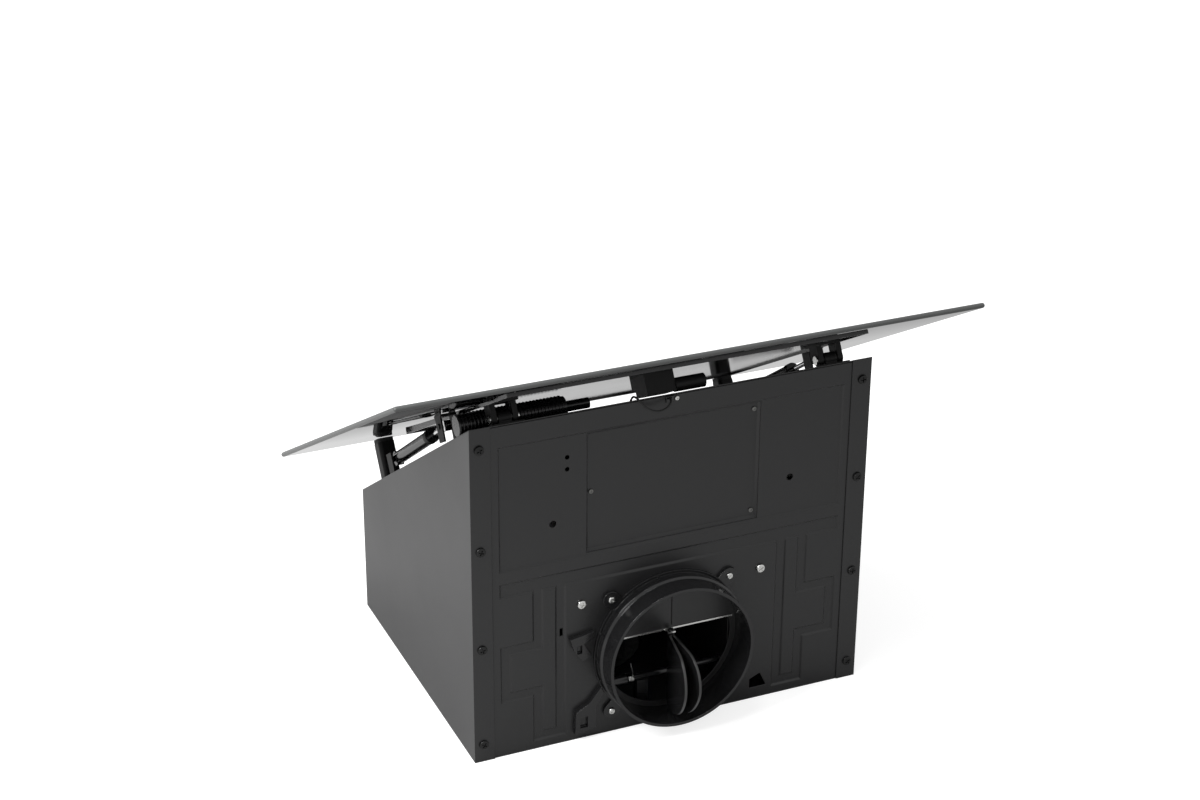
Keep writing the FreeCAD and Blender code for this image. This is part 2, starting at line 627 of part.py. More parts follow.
def throat_stay():
    """Rod across the scroll's mouth, with its end collars and a foot."""
    x0, y, z = stay_place()
    x1 = COLLAR_X + PORT_R - SHEET - 0.1
    parts = [rod(STAY_R, (x0, y, z), (x1, y, z)),
             rod(STAY_R + 5, (x0, y, z), (x0 + 3, y, z)),
             rod(STAY_R + 2.5, (x0 + 3, y, z), (x0 + 26, y, z)),
             rod(STAY_R + 2, (x1 - 4, y, z), (x1, y, z)),
             box(x0 + 36, x0 + 48, y - 4, y + 4, HOUSING_Z0 + SHEET, z - STAY_R + 0.5)]
    return fuse(parts)


def throat_spring():
    """Coil on the stay, drawn as one sleeve, with its straight leg."""
    x0, y, z = stay_place()
    coil = tube(STAY_R + 1.9, STAY_R + 0.1, (x0 + 26.2, y, z), (x0 + 34, y, z))
    leg = rod(1.2, (x0 + 33, y - STAY_R - 0.6, z + 1), (x0 + 28, y - 6, z + 20))
    return fuse([coil, leg]).cut(rod(STAY_R + 0.1, (x0, y, z), (x0 + 40, y, z)))


def volute_outline(inset):
    """Spiral wall, right wall, port end and slanted tongue wall."""
    steps = 10
    spiral = []
    for k in range(steps + 1):
        turn = k / steps
        angle = math.radians(VOLUTE_TONGUE * (1 - turn))
        radius = VOLUTE_MIN + (VOLUTE_MAX - VOLUTE_MIN) * turn - inset
        spiral.append(Vector(FAN_X + radius * math.cos(angle), FAN_Y + radius * math.sin(angle), 0))
    curve = Part.BSplineCurve()
    curve.interpolate(spiral)
    end_y = PANEL_Y + SHEET + PRESS + 0.6
    right = Vector(COLLAR_X + PORT_R - inset, end_y + 20, 0)
    corner_r = Vector(right.x, end_y, 0)
    corner_l = Vector(COLLAR_X - PORT_R + inset, end_y, 0)
    throat = Vector(corner_l.x, end_y + 14, 0)
    edges = [curve.toShape()]
    for a, b in ((spiral[-1], right), (right, corner_r), (corner_r, corner_l), (corner_l, throat),
                 (throat, spiral[0])):
        edges.append(Part.LineSegment(a, b).toShape())
    return Part.Face(Part.Wire(edges))


def volute(inset, z0, z1):
    face = volute_outline(inset)
    face.translate(Vector(0, 0, z0))
    return face.extrude(Vector(0, 0, z1 - z0))


def blower_feet():
    return [rod(6, (FAN_X + dx, FAN_Y + dy, SHEET), (FAN_X + dx, FAN_Y + dy, HOUSING_Z0))
            for dx, dy in ((-95, 30), (85, 60), (60, -70))]


def blower_base():
    return fuse([volute(0, HOUSING_Z0, HOUSING_Z0 + SHEET)] + blower_feet())


def blower_housing():
    shell = volute(0, HOUSING_Z0 + SHEET, HOUSING_Z1 - SHEET)
    hollow = volute(SHEET, HOUSING_Z0, HOUSING_Z1 + 1)
    half = PORT_R - SHEET
    mouth = box(COLLAR_X - half, COLLAR_X + half, OUT_Y, OUT_Y + 12, HOUSING_Z0, HOUSING_Z1)
    return shell.cut(hollow).cut(mouth)


def blower_cover():
    plate = volute(0, HOUSING_Z1 - SHEET, HOUSING_Z1)
    mouth = rod(INLET_R, (FAN_X, FAN_Y, 80), (FAN_X, FAN_Y, 120))
    lip = tube(INLET_R + 2, INLET_R, (FAN_X, FAN_Y, HOUSING_Z1 - 6), (FAN_X, FAN_Y, HOUSING_Z1 + 3))
    return fuse([plate.cut(mouth), lip])


def impeller_disc():
    """Back disc and hub, moulded round the shaft."""
    disc = rod(FAN_R, (FAN_X, FAN_Y, FAN_BACK_Z), (FAN_X, FAN_Y, FAN_BACK_Z + FAN_DISC_T))
    hub = rod(HUB_R, (FAN_X, FAN_Y, FAN_BACK_Z), (FAN_X, FAN_Y, FAN_BACK_Z + HUB_L))
    shaft = rod(SHAFT_R, (FAN_X, FAN_Y, FAN_BACK_Z), (FAN_X, FAN_Y, MOTOR_Z1 - 12))
    return fuse([disc, hub, shaft])


def impeller_blades():
    """Blade drum that stands on the disc, tied by its top ring."""
    foot = FAN_BACK_Z + FAN_DISC_T
    half_l = FAN_BLADE_L / 2
    half_t = FAN_BLADE_T / 2
    parts = [tube(FAN_R, FAN_R - FAN_BLADE_L, (FAN_X, FAN_Y, FAN_TOP_Z - 2), (FAN_X, FAN_Y, FAN_TOP_Z))]
    for k in range(FAN_BLADES):
        blade = box(-half_l, half_l, -half_t, half_t, foot, FAN_TOP_Z - 1)
        blade.rotate(Vector(0, 0, 0), Z_AXIS, 35)
        blade.translate(Vector(FAN_R - half_l - 0.6, 0, 0))
        blade.rotate(Vector(0, 0, 0), Z_AXIS, 360.0 * k / FAN_BLADES)
        blade.translate(Vector(FAN_X, FAN_Y, 0))
        parts.append(blade)
    return fuse(parts)


def motor_body():
    can = rod(MOTOR_R, (FAN_X, FAN_Y, MOTOR_Z0), (FAN_X, FAN_Y, MOTOR_Z1))
    cap = rod(MOTOR_R - 12, (FAN_X, FAN_Y, MOTOR_Z1), (FAN_X, FAN_Y, MOTOR_Z1 + 6))
    bore = rod(SHAFT_R + RUN, (FAN_X, FAN_Y, MOTOR_Z0 - 1), (FAN_X, FAN_Y, MOTOR_Z1 - 10))
    return fuse([can, cap]).cut(bore)


def motor_bracket():
    base = HOUSING_Z1 + 3.2
    parts = [tube(MOTOR_R + 5, MOTOR_R, (FAN_X, FAN_Y, base), (FAN_X, FAN_Y, base + 8))]
    for k in range(3):
        arm = box(MOTOR_R + 1, INLET_R + 14, -6, 6, base, base + 3)
        foot = box(INLET_R + 4, INLET_R + 14, -6, 6, HOUSING_Z1, base)
        for piece in (arm, foot):
            piece.rotate(Vector(0, 0, 0), Z_AXIS, 40 + 120 * k)
            piece.translate(Vector(FAN_X, FAN_Y, 0))
            parts.append(piece)
    return fuse(parts)


def capacitor():
    x = 0.59 * HALF_W
    z = SHEET + 2.5 + CAPACITOR_R
    y0 = CAPACITOR_Y
    y1 = y0 + CAPACITOR_L
    can = rod(CAPACITOR_R, (x, y0, z), (x, y1, z))
    cap = rod(CAPACITOR_CAP_R, (x, y0 - CAPACITOR_CAP_L, z), (x, y0, z))
    saddle = box(x - SADDLE_W / 2, x + SADDLE_W / 2, y0 + SADDLE_L, y0 + 2 * SADDLE_L, SHEET,
                 z - 0.76 * CAPACITOR_R)
    return fuse([can, cap, saddle])


def box_back():
    """Front plane of the parts that hang behind the cover plate."""
    return PANEL_Y + PRESS + 2 * SHEET + COVER_PRESS + 0.1


def control_box():
    y0 = box_back()
    wall = BOX_WALL
    top = OUTLET_H - BOX_DROP
    z0 = WINDOW_Z0 + 2
    outer = box(WINDOW_X0, WINDOW_X1, y0, y0 + BOX_DEPTH, z0, top)
    inner = box(WINDOW_X0 + wall, WINDOW_X1 - wall, y0 - 1, y0 + BOX_DEPTH - wall, z0 + wall, top - wall)
    shanks = front_holes(COVER_SCREWS, 1.7)
    return outer.cut(inner).cut(Part.makeCompound(shanks))


def control_board():
    y = box_back() + BOARD_AT
    top = OUTLET_H - BOX_DROP - BOARD_INSET
    low = WINDOW_Z0 + 2 + BOARD_INSET
    x0 = WINDOW_X0 + BOARD_INSET
    x1 = WINDOW_X1 - BOARD_INSET
    parts = [box(x0, x1, y, y + BOARD_T, low, top)]
    trafo = WINDOW_X0 + TRAFO_X
    parts.append(box(trafo, trafo + TRAFO_W, y - TRAFO_H, y, low + 8, low + 8 + TRAFO_L))
    for k in range(4):
        x = WINDOW_X0 + RELAY_X + k * RELAY_PITCH
        parts.append(box(x, x + RELAY_W, y - RELAY_W, y, top - 6 - RELAY_L, top - 6))
    for k in range(2):
        x = WINDOW_X0 + CAN_X + k * CAN_PITCH
        parts.append(rod(CAN_R, (x, y - CAN_H, low + 3 * CAN_R), (x, y, low + 3 * CAN_R)))
    back = box_back() + BOX_DEPTH - BOX_WALL
    for x in (x0 + 2 * FOOT_R, x1 - 2 * FOOT_R):
        for z in (low + 2 * FOOT_R, top - 8):
            parts.append(rod(FOOT_R, (x, y + BOARD_T, z), (x, back, z)))
    return fuse(parts)


def filter_box(side):
    x0, x1 = filter_span(side)
    h1 = -0.5
    return x0 + FILTER_PLAY, x1 - FILTER_PLAY, FILTER_S0, FILTER_S0 + FILTER_L, h1 - FILTER_T, h1


def latch_slot(side, play):
    x0, x1, s0, s1, h0, h1 = filter_box(side)
    mid = (x0 + x1) / 2
    half = LATCH_W / 2 + play
    return mid - half, mid + half


def filter_frame(side):
    x0, x1, s0, s1, h0, h1 = filter_box(side)
    rim = FILTER_RIM
    frame = box(x0, x1, s0, s1, h0, h1)
    frame = frame.cut(box(x0 + rim, x1 - rim, s0 + rim + 8, s1 - rim, h0 - 1, h1 + 1))
    seat = 2.0
    frame = frame.cut(box(x0 + seat, x1 - seat, s0 + rim + 8 - 6, s1 - seat, h0 + 1.0, h1 - 1.0))
    a, b = latch_slot(side, 0.5)
    well = box(a, b, s0 + 2.5, s0 + 13.5 + LATCH_TRAVEL - 4.5, h0 + 1.2, h1 + 1)
    door = box(a + 4.0, b - 4.0, s0 - 1, s0 + 4, -6.5, -3.0)
    return on_slope(frame.cut(well).cut(door))


def filter_mesh(side):
    x0, x1, s0, s1, h0, h1 = filter_box(side)
    seat = 2.0
    a, b = x0 + seat + 0.2, x1 - seat - 0.2
    c, d = s0 + FILTER_RIM + 2.4, s1 - seat - 0.2
    slab = box(a, b, c, d, h0 + 1.1, h1 - 1.1)
    field_x0, field_x1 = x0 + FILTER_RIM, x1 - FILTER_RIM
    field_s0, field_s1 = s0 + FILTER_RIM + 8, s1 - FILTER_RIM
    pitch_x = (field_x1 - field_x0) / MESH_COLS
    pitch_s = (field_s1 - field_s0) / MESH_ROWS
    gaps = []
    for i in range(MESH_COLS):
        for j in range(MESH_ROWS):
            gx = field_x0 + i * pitch_x + MESH_BAR / 2
            gs = field_s0 + j * pitch_s + MESH_BAR / 2
            gaps.append(box(gx, gx + pitch_x - MESH_BAR, gs, gs + pitch_s - MESH_BAR, h0, h1))
    return on_slope(slab.cut(Part.makeCompound(gaps)))


def filter_latch(side):
    x0, x1, s0, s1, h0, h1 = filter_box(side)
    a, b = latch_slot(side, 0.0)
    plate = box(a, b, s0 + 3, s0 + 3 + 5.5, h0 + 1.4, h1 + 0.4)
    grip = box(a + 3, b - 3, s0 + 5, s0 + 6.6, h1 + 0.4, h1 + 4)
    tongue = box(a + 5, b - 5, s0 - 4, s0 + 4, -6.1, -3.4)
    return on_slope(fuse([plate, grip, tongue]))


def hinge_base():
    x0, x1 = -HINGE_X - HINGE_LUG / 2, -HINGE_X + HINGE_LUG / 2
    foot = box(-HINGE_X - 16, -HINGE_X + 16, 3, 36, 0, 1.2)
    web = box(x0, x1, AXIS_S - 5, AXIS_S + 14, 1.0, AXIS_H - 1)
    slant = box(x0, x1, AXIS_S - HINGE_BARREL_R + 1, AXIS_S + HINGE_BARREL_R - 1, 1.0, AXIS_H)
    barrel = rod(HINGE_BARREL_R, (x0, AXIS_S, AXIS_H), (x1, AXIS_S, AXIS_H))
    barrel = barrel.cut(box(x0 - 1, x1 + 1, 0, 60, -5, 0))
    bore = rod(HINGE_PIN_R + RUN, (x0 - 1, AXIS_S, AXIS_H), (x1 + 1, AXIS_S, AXIS_H))
    return on_slope(fuse([foot, web, slant, barrel]).cut(bore))


def hinge_leaf():
    x0, x1 = -HINGE_X - HINGE_LUG / 2 - EAR_GAP, -HINGE_X + HINGE_LUG / 2 + EAR_GAP
    top = GLASS_LIFT - SHEET
    plate = box(x0 - EAR, x1 + EAR, -14, 18, top - 2, top)
    parts = [plate]
    for a, b in ((x0 - EAR, x0), (x1, x1 + EAR)):
        parts.append(rod(HINGE_BARREL_R - 0.2, (a, 0, 0), (b, 0, 0)))
        parts.append(box(a, b, -HINGE_BARREL_R + 0.2, HINGE_BARREL_R + 4, 0, top - 1))
    bore = rod(HINGE_PIN_R, (x0 - EAR - 1, 0, 0), (x1 + EAR + 1, 0, 0))
    return on_glass(fuse(parts).cut(bore))


def hinge_pin():
    x0 = -HINGE_X - HINGE_LUG / 2 - EAR_GAP - EAR
    x1 = -HINGE_X + HINGE_LUG / 2 + EAR_GAP + EAR
    shank = rod(HINGE_PIN_R, (x0 - 1.2, 0, 0), (x1, 0, 0))
    head = rod(HINGE_PIN_R + 1.2, (x1, 0, 0), (x1 + 1.6, 0, 0))
    clip = rod(HINGE_PIN_R + 0.8, (x0 - 1.2, 0, 0), (x0, 0, 0))
    return on_glass(fuse([shank, head, clip]))


def glass_panel():
    half = GLASS_W / 2
    sheet = box(-half, half, -GLASS_NOSE, GLASS_L - GLASS_NOSE, GLASS_LIFT, GLASS_LIFT + GLASS_T)
    return on_glass(sheet.makeChamfer(0.8, [e for e in sheet.Edges if abs(e.Length - GLASS_T) > 0.01]))


def glass_pan():
    """Folded steel tray bonded under the glass."""
    top = GLASS_LIFT
    outer = box(-PAN_HALF_W, PAN_HALF_W, -PAN_NEAR, PAN_FAR, top - PAN_RIM, top)
    inner = box(-PAN_HALF_W + SHEET, PAN_HALF_W - SHEET, -PAN_NEAR + SHEET, PAN_FAR - SHEET,
                top - PAN_RIM - 1, top - SHEET)
    return on_glass(outer.cut(inner))


def post_top():
    """Height of the post at which its cap just meets the glass."""
    point = to_glass(POST_S - POST_L / 2, 0)
    return (GLASS_LIFT - 0.12 - point.z) / math.cos(math.radians(GLASS_LEAN))


def post_block(inset, h0, h1):
    x0, x1 = -POST_X - POST_W / 2 + inset, -POST_X + POST_W / 2 - inset
    s0, s1 = POST_S - POST_L / 2 + inset, POST_S + POST_L / 2 - inset
    post = box(x0, x1, s0, s1, h0, h1)
    return post.makeFillet(POST_ROUND, [e for e in post.Edges if abs(e.Length - (h1 - h0)) < 0.001])


def rest_post():
    return on_slope(post_block(0, 0, post_top() - CAP_T))


def post_cap():
    return on_slope(post_block(0.3, post_top() - CAP_T, post_top()))


def strut_points():
    foot = SLOPE_FRAME.multVec(Vector(-STRUT_X, STRUT_FOOT_S, STRUT_FOOT_H))
    head = SLOPE_FRAME.multVec(Vector(-STRUT_X, STRUT_HEAD_S, STRUT_HEAD_H))
    return foot, head


def along_strut(shape):
    """Local +Z runs from the foot eye to the head eye."""
    foot, head = strut_points()
    return placed(shape, Placement(foot, Rotation(Z_AXIS, head - foot)))


def strut_length():
    foot, head = strut_points()
    return (head - foot).Length


def strut_tube():
    eye = rod(STRUT_EYE_R, (-3.5, 0, 0), (3.5, 0, 0))
    end = STRUT_TUBE_SHARE * strut_length()
    body = rod(STRUT_TUBE_R, (0, 0, 5), (0, 0, end))
    bore = rod(STRUT_ROD_R + RUN, (0, 0, 9), (0, 0, end + 6))
    hole = rod(STUD_R + RUN, (-9, 0, 0), (9, 0, 0))
    return along_strut(fuse([eye, body]).cut(bore).cut(hole))


def strut_rod():
    length = strut_length()
    shank = rod(STRUT_ROD_R, (0, 0, 22), (0, 0, length - 3))
    collar = rod(STRUT_ROD_R + 1.5, (0, 0, length - 14), (0, 0, length - 4))
    eye = rod(5, (-3, 0, length), (3, 0, length))
    return along_strut(fuse([shank, collar, eye]))


def strut_mount():
    """Foot bracket on the casing with its stud."""
    x0 = -STRUT_X - 9.5
    s0, s1 = STRUT_FOOT_S - 8, STRUT_FOOT_S + 8
    plate = box(x0, x0 + 1.5, s0, s1, 0, STRUT_FOOT_H + 6)
    foot = box(x0, -STRUT_X + 8, s0, s1, 0, 1.2)
    stud = rod(STUD_R, (x0, STRUT_FOOT_S, STRUT_FOOT_H), (-STRUT_X + 5, STRUT_FOOT_S, STRUT_FOOT_H))
    head = rod(STUD_R + 1.5, (-STRUT_X + 5, STRUT_FOOT_S, STRUT_FOOT_H),
               (-STRUT_X + 6.5, STRUT_FOOT_S, STRUT_FOOT_H))
    return on_slope(fuse([plate, foot, stud, head]))


def strut_bracket():
    """Fork under the glass; the rod eye stands between its cheeks."""
    eye = to_glass(STRUT_HEAD_S, STRUT_HEAD_H)
    gap = 6.0
    wall = 1.6
    x0, x1 = -STRUT_X - gap, -STRUT_X + gap
    top = GLASS_LIFT
    web = box(x0 - wall, x1 + wall, eye.y - 10, eye.y + 10, top - wall, top)
    parts = [web]
    for a, b in ((x0 - wall, x0), (x1, x1 + wall)):
        parts.append(box(a, b, eye.y - 8, eye.y + 8, eye.z - 14.5, top - wall / 2))
    parts.append(rod(2.8, (x0 - wall - 1.0, eye.y, eye.z), (x0 - wall, eye.y, eye.z)))
    return on_glass(fuse(parts))


def touch_module():
    block = box(MODULE_X0, MODULE_X1, -5, 22, -4, GLASS_LIFT - SHEET)
    snout = rod(6.5, (MODULE_X1, 0, 1.5), (SNOUT_X1, 0, 1.5))
    rear = box(MODULE_X0 + 4, MODULE_X1 - 4, 22, 40, 4, GLASS_LIFT - SHEET)
    return on_glass(fuse([block, snout, rear]))


def harness_sleeve():
    x0, x1 = -HALF_W + SLEEVE_X0, -HALF_W + SLEEVE_X1
    sleeve = rod(SLEEVE_R, (x0, SLEEVE_S, SLEEVE_H), (x1, SLEEVE_S, SLEEVE_H))
    neck = rod(SLEEVE_R / 2, (x1, SLEEVE_S, SLEEVE_H), (x1 + 24, SLEEVE_S, SLEEVE_H))
    saddles = [box(x, x + 8, SLEEVE_S - 7, SLEEVE_S + 7, 0, SLEEVE_H) for x in (x0 + 16, x1 - 24)]
    return on_slope(fuse([sleeve, neck] + saddles))


def wire_points():
    return [(x, OUT_Y - out, OUTLET_H + up) for x, out, up in WIRE_ROUTE]


def wire_path(points):
    """Straight runs joined by arcs tangent to them."""
    corners = [Vector(*p) for p in points]
    edges = []
    start = corners[0]
    for before, here, after in zip(corners, corners[1:], corners[2:]):
        a = before - here
        b = after - here
        turn = math.pi - a.getAngle(b)
        cut = 0.45 * min(a.Length, b.Length)
        radius = cut / math.tan(turn / 2)
        a.normalize()
        b.normalize()
        p0 = here + a * cut
        p1 = here + b * cut
        inward = a + b
        inward.normalize()
        middle = here + inward * (radius / math.cos(turn / 2) - radius)
        edges.append(Part.LineSegment(start, p0).toShape())
        edges.append(Part.Arc(p0, middle, p1).toShape())
        start = p1
    edges.append(Part.LineSegment(start, corners[-1]).toShape())
    return Part.Wire(edges)


def cable_loop():
    path = wire_path(wire_points())
    start, second = wire_points()[:2]
    circle = Part.Circle(Vector(*start), Vector(*second) - Vector(*start), WIRE_R).toShape()
    return path.makePipeShell([Part.Wire(circle)], True, False)


def lead_screw_place():
    x, y, z = wire_points()[-1]
    return x + 7.0, z - 1.5


def cable_clip():
    """Grommet plate where the lead goes back into the casing."""
    x, y, z = wire_points()[-1]
    top = OUTLET_H - 2.6
    plate = box(x - 4.0, x + 4.0, PANEL_Y - 1.4, PANEL_Y, z - 4.5, top)
    return plate.cut(rod(WIRE_R + 0.35, (x, y - 6, z), (x, PANEL_Y + 2, z)))


def lamp_bezels():
    rings = []
    for x in (-LAMP_X, LAMP_X):
        flange = tube(LAMP_R + LAMP_RIM, LAMP_R - 3, (x, LOW_Y, LAMP_Z), (x, LOW_Y + LAMP_PLATE, LAMP_Z))
        sleeve = tube(LAMP_R - 0.2, LAMP_R - 3, (x, LOW_Y - LAMP_DEPTH, LAMP_Z), (x, LOW_Y, LAMP_Z))
        rings.append(fuse([flange, sleeve]))
    return Part.makeCompound(rings)


def lamp_lenses():
    discs = []
    for x in (-LAMP_X, LAMP_X):
        lens = rod(LAMP_R - 3.05, (x, LOW_Y - 3, LAMP_Z), (x, LOW_Y + 0.4 * LAMP_PLATE, LAMP_Z))
        module = rod(LAMP_R - 6, (x, LOW_Y - LAMP_DEPTH - 2, LAMP_Z), (x, LOW_Y - 3, LAMP_Z))
        discs.append(fuse([lens, module]))
    return Part.makeCompound(discs)


def build():
    nodes = {
        "outlet_panel": outlet_panel(),
        "wall_panel": wall_panel(),
        "lower_panel": lower_panel(),
        "intake_frame": intake_frame(),
        "cover_plate": cover_plate(),
        "casing_screws": casing_screws(),
        "cover_screws": cover_screws(),
        "outlet_collar": outlet_collar(),
        "collar_clips": collar_clips(),
        "collar_screws": collar_screws(),
        "damper_yoke": damper_yoke(),
        "damper_pin": damper_pin(),
        "damper_flap_left": damper_flap(-1, FLAP_OPEN_LEFT),
        "damper_flap_right": damper_flap(1, FLAP_OPEN_RIGHT),
        "throat_stay": throat_stay(),
        "throat_spring": throat_spring(),
        "blower_base": blower_base(),
        "blower_housing": blower_housing(),
        "blower_cover": blower_cover(),
        "impeller_disc": impeller_disc(),
        "impeller_blades": impeller_blades(),
        "motor_body": motor_body(),
        "motor_bracket": motor_bracket(),
        "capacitor": capacitor(),
        "control_box": control_box(),
        "control_board": control_board(),
        "filter_frame_left": filter_frame(-1),
        "filter_frame_right": filter_frame(1),
        "filter_mesh_left": filter_mesh(-1),
        "filter_mesh_right": filter_mesh(1),
        "filter_latch_left": filter_latch(-1),
        "filter_latch_right": filter_latch(1),
        "glass_panel": glass_panel(),
        "glass_pan": glass_pan(),
        "touch_module": touch_module(),
        "harness_sleeve": harness_sleeve(),
        "cable_loop": cable_loop(),
        "cable_clip": cable_clip(),
        "lamp_bezels": lamp_bezels(),
        "lamp_lenses": lamp_lenses(),
    }
    pairs = {
        "side_panel": side_panel(),
        "hinge_base": hinge_base(),
        "hinge_leaf": hinge_leaf(),
        "hinge_pin": hinge_pin(),
        "rest_post": rest_post(),
        "post_cap": post_cap(),
        "strut_tube": strut_tube(),
        "strut_rod": strut_rod(),
        "strut_mount": strut_mount(),
        "strut_bracket": strut_bracket(),
    }
    for name, shape in pairs.items():
        nodes[name + "_left"] = shape
        nodes[name + "_right"] = mirrored(shape)
    return nodes


def main():
    os.makedirs("parts", exist_ok=True)
    nodes = build()
    for name, shape in nodes.items():
        shape.exportStep("parts/" + name + ".step")
        if not shape.isValid():
            print("not valid:", name)
        print(name, len(shape.Solids), round(shape.Volume, 1))
    print("nodes", len(nodes), "slope", round(SLOPE, 3), "axis", AXIS_POINT, "strut", strut_points(),
          round(strut_length(), 3), "post", round(post_top(), 2))


main()
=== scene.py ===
import math

import bpy
from mathutils import Euler, Matrix, Vector


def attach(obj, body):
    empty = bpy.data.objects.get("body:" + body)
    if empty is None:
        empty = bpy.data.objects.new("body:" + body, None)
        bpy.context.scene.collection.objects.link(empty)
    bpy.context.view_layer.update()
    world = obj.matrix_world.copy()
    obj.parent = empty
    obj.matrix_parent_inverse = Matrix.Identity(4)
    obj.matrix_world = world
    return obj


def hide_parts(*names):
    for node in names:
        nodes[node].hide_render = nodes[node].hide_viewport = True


# The glass wall hood as it lies on its wall face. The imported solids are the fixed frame,
# and everything below is dressed over them in the same metres.
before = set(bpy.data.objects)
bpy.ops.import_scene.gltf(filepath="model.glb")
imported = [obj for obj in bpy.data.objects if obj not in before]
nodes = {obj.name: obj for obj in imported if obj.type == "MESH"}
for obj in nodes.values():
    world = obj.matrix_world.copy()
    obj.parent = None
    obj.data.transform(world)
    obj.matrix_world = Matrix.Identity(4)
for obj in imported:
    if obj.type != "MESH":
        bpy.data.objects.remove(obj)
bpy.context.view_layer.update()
bpy.ops.object.select_all(action="DESELECT")

# Camera. A long lens from the left of the outlet face, above the front edge, looking down on it.
camera_data = bpy.data.cameras.new("camera")
camera_data.lens = 73.788
camera_data.sensor_width = 36.0
camera = bpy.data.objects.new("camera", camera_data)
camera.location = (-0.8605, -1.9632, 1.2962)
camera.rotation_euler = Euler((math.radians(64.381), math.radians(-0.315), math.radians(-23.350)), "XYZ")
bpy.context.scene.collection.objects.link(camera)
bpy.context.scene.camera = camera

# Sensor lead: a thin soft two-core wire that comes up over the front edge, hangs in a short
# loop before the outlet face and goes back in through its grommet.
outlet_y = -0.158
front_z = 0.346
lead_route = [
    (-0.0420, 0.0085, -0.0056),
    (-0.0420, 0.0055, 0.0012),
    (-0.0405, -0.0010, 0.0028),
    (-0.0365, -0.0055, -0.0034),
    (-0.0295, -0.0072, -0.0096),
    (-0.0205, -0.0076, -0.0124),
    (-0.0120, -0.0074, -0.0098),
    (-0.0072, -0.0046, -0.0056),
    (-0.0066, 0.0006, -0.0044),
]
lead_radius = 0.001
lead_curve = bpy.data.curves.new("sensor_lead", "CURVE")
lead_curve.dimensions = "3D"
lead_curve.bevel_depth = 1.0
lead_curve.bevel_resolution = 4
lead_curve.resolution_u = 10
lead_curve.use_fill_caps = True
lead_line = lead_curve.splines.new("NURBS")
lead_line.points.add(len(lead_route) - 1)
for point, (x, y, z) in zip(lead_line.points, lead_route):
    point.co = (x, outlet_y + y, front_z + z, 1.0)
    point.radius = lead_radius
lead_line.order_u = 3
lead_line.use_endpoint_u = True
sensor_lead = bpy.data.objects.new("sensor_lead", lead_curve)
bpy.context.scene.collection.objects.link(sensor_lead)
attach(sensor_lead, "casing")
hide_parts("cable_loop")

# Floor and light. A white studio floor in a white room, with a broad soft panel high on the left
# that lights the side face and a small one above that draws the edges. The third brightens the
# floor that the side face mirrors, and isn't mirrored itself.
bpy.ops.mesh.primitive_plane_add(size=30.0, location=(0.0, 0.0, 0.0))
floor = bpy.context.object
floor.name = "studio_floor"
floor_paint = bpy.data.materials.new("studio_white")
floor_paint.use_nodes = True
floor_tree = floor_paint.node_tree
floor_shader = floor_tree.nodes["Principled BSDF"]
floor_shader.inputs["Base Color"].default_value = (0.45, 0.45, 0.45, 1.0)
floor_shader.inputs["Roughness"].default_value = 0.9
floor_shader.inputs["Specular IOR Level"].default_value = 0.0
floor_shader.inputs["Emission Color"].default_value = (1.0, 1.0, 1.0, 1.0)
floor_ray = floor_tree.nodes.new("ShaderNodeLightPath")
floor_lift = floor_tree.nodes.new("ShaderNodeMath")
floor_lift.operation = "MULTIPLY"
floor_lift.inputs[1].default_value = 0.75
floor_tree.links.new(floor_ray.outputs["Is Camera Ray"], floor_lift.inputs[0])
floor_tree.links.new(floor_lift.outputs[0], floor_shader.inputs["Emission Strength"])
floor.data.materials.append(floor_paint)
floor.select_set(False)

room = bpy.data.worlds.new("white_room")
room.use_nodes = True
room.node_tree.nodes["Background"].inputs["Color"].default_value = (1.0, 1.0, 1.0, 1.0)
room.node_tree.nodes["Background"].inputs["Strength"].default_value = 0.76
bpy.context.scene.world = room
bpy.context.scene.view_settings.view_transform = "Standard"

for name, place, aim, size, power, mirrored in (
    ("panel_left", (-1.9, -0.3, 2.0), (0.0, 0.0, 0.2), 1.1, 72.0, True),
    ("panel_top", (-0.5, -0.5, 2.5), (0.0, 0.0, 0.3), 0.5, 14.0, True),
    ("panel_far", (-2.1, 1.9, 1.7), (-1.1, 1.1, 0.0), 1.2, 45.0, False),
):
    light_data = bpy.data.lights.new(name, "AREA")
    light_data.shape = "SQUARE"
    light_data.size = size
    light_data.energy = power
    light = bpy.data.objects.new(name, light_data)
    light.location = place
    light.rotation_euler = (Vector(aim) - Vector(place)).to_track_quat("-Z", "Y").to_euler()
    light.visible_glossy = mirrored
    bpy.context.scene.collection.objects.link(light)

# Casing: pressed and folded steel sheet, 1 mm thick, with a satin black powder coat baked on.
# The coat has a fine orange peel that breaks up its reflections, and it rounds the pressed corners.
grain_group = bpy.data.node_groups.new("surface_grain", "ShaderNodeTree")
for name, way in (("Scale", "INPUT"), ("Roughness", "INPUT"), ("Spread", "INPUT"),
                  ("Height", "OUTPUT"), ("Roughness", "OUTPUT"), ("Cloud", "OUTPUT")):
    grain_group.interface.new_socket(name=name, in_out=way, socket_type="NodeSocketFloat")
grain_in = grain_group.nodes.new("NodeGroupInput")
grain_out = grain_group.nodes.new("NodeGroupOutput")
grain_place = grain_group.nodes.new("ShaderNodeTexCoord")
grain_fine = grain_group.nodes.new("ShaderNodeTexNoise")
grain_fine.inputs["Detail"].default_value = 3.0
grain_cloud = grain_group.nodes.new("ShaderNodeTexNoise")
grain_cloud.inputs["Scale"].default_value = 9.0
grain_cloud.inputs["Detail"].default_value = 5.0
grain_shift = grain_group.nodes.new("ShaderNodeMath")
grain_shift.operation = "SUBTRACT"
grain_shift.inputs[1].default_value = 0.5
grain_spread = grain_group.nodes.new("ShaderNodeMath")
grain_spread.operation = "MULTIPLY_ADD"
